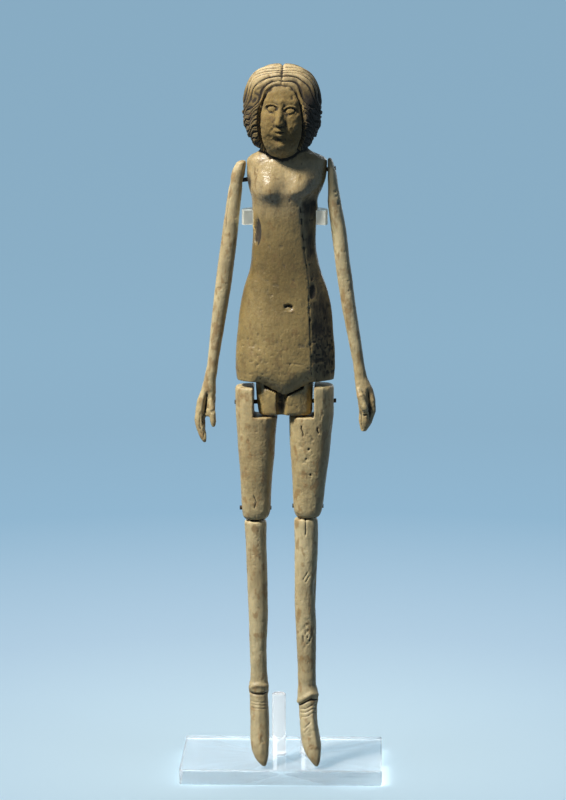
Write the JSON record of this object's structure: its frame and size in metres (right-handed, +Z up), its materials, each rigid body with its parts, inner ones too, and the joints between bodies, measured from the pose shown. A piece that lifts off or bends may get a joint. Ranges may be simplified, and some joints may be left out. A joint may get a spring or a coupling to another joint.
{
  "type": "jointed ivory doll on clear stand",
  "caption": "Slender carved doll with bobbed hair, long pinned arms, split thighs and booted shins, held upright by a clear foot, rod and open collar",
  "frame": {"origin": "middle of the stand foot's underside", "axes": "+Z up, the doll faces -Y, +X to the viewer's right"},
  "size_m": [0.067, 0.0484, 0.2359],
  "materials": {
    "ivory_body": "old carved ivory, olive brown, satin to glossy on the chest and hair, worn and pitted on the belly",
    "ivory_limbs": "old carved ivory, paler tan, mottled brown, satin",
    "iron_pin": "dark corroded metal pins",
    "clear_acrylic": "clear polished acrylic, slightly frosted on the collar"
  },
  "bodies": {
    "root": {"head_and_torso": "ivory_body", "right_arm": "ivory_limbs", "left_arm": "ivory_limbs", "right_thigh": "ivory_limbs", "left_thigh": "ivory_limbs", "right_shin": "ivory_limbs", "left_shin": "ivory_limbs", "shoulder_pin": "iron_pin", "hip_pin": "iron_pin", "right_knee_pin": "iron_pin", "left_knee_pin": "iron_pin", "stand_foot": "clear_acrylic", "stand_rod": "clear_acrylic", "stand_post": "clear_acrylic", "stand_cradle": "clear_acrylic"}
  },
  "joints": []
}
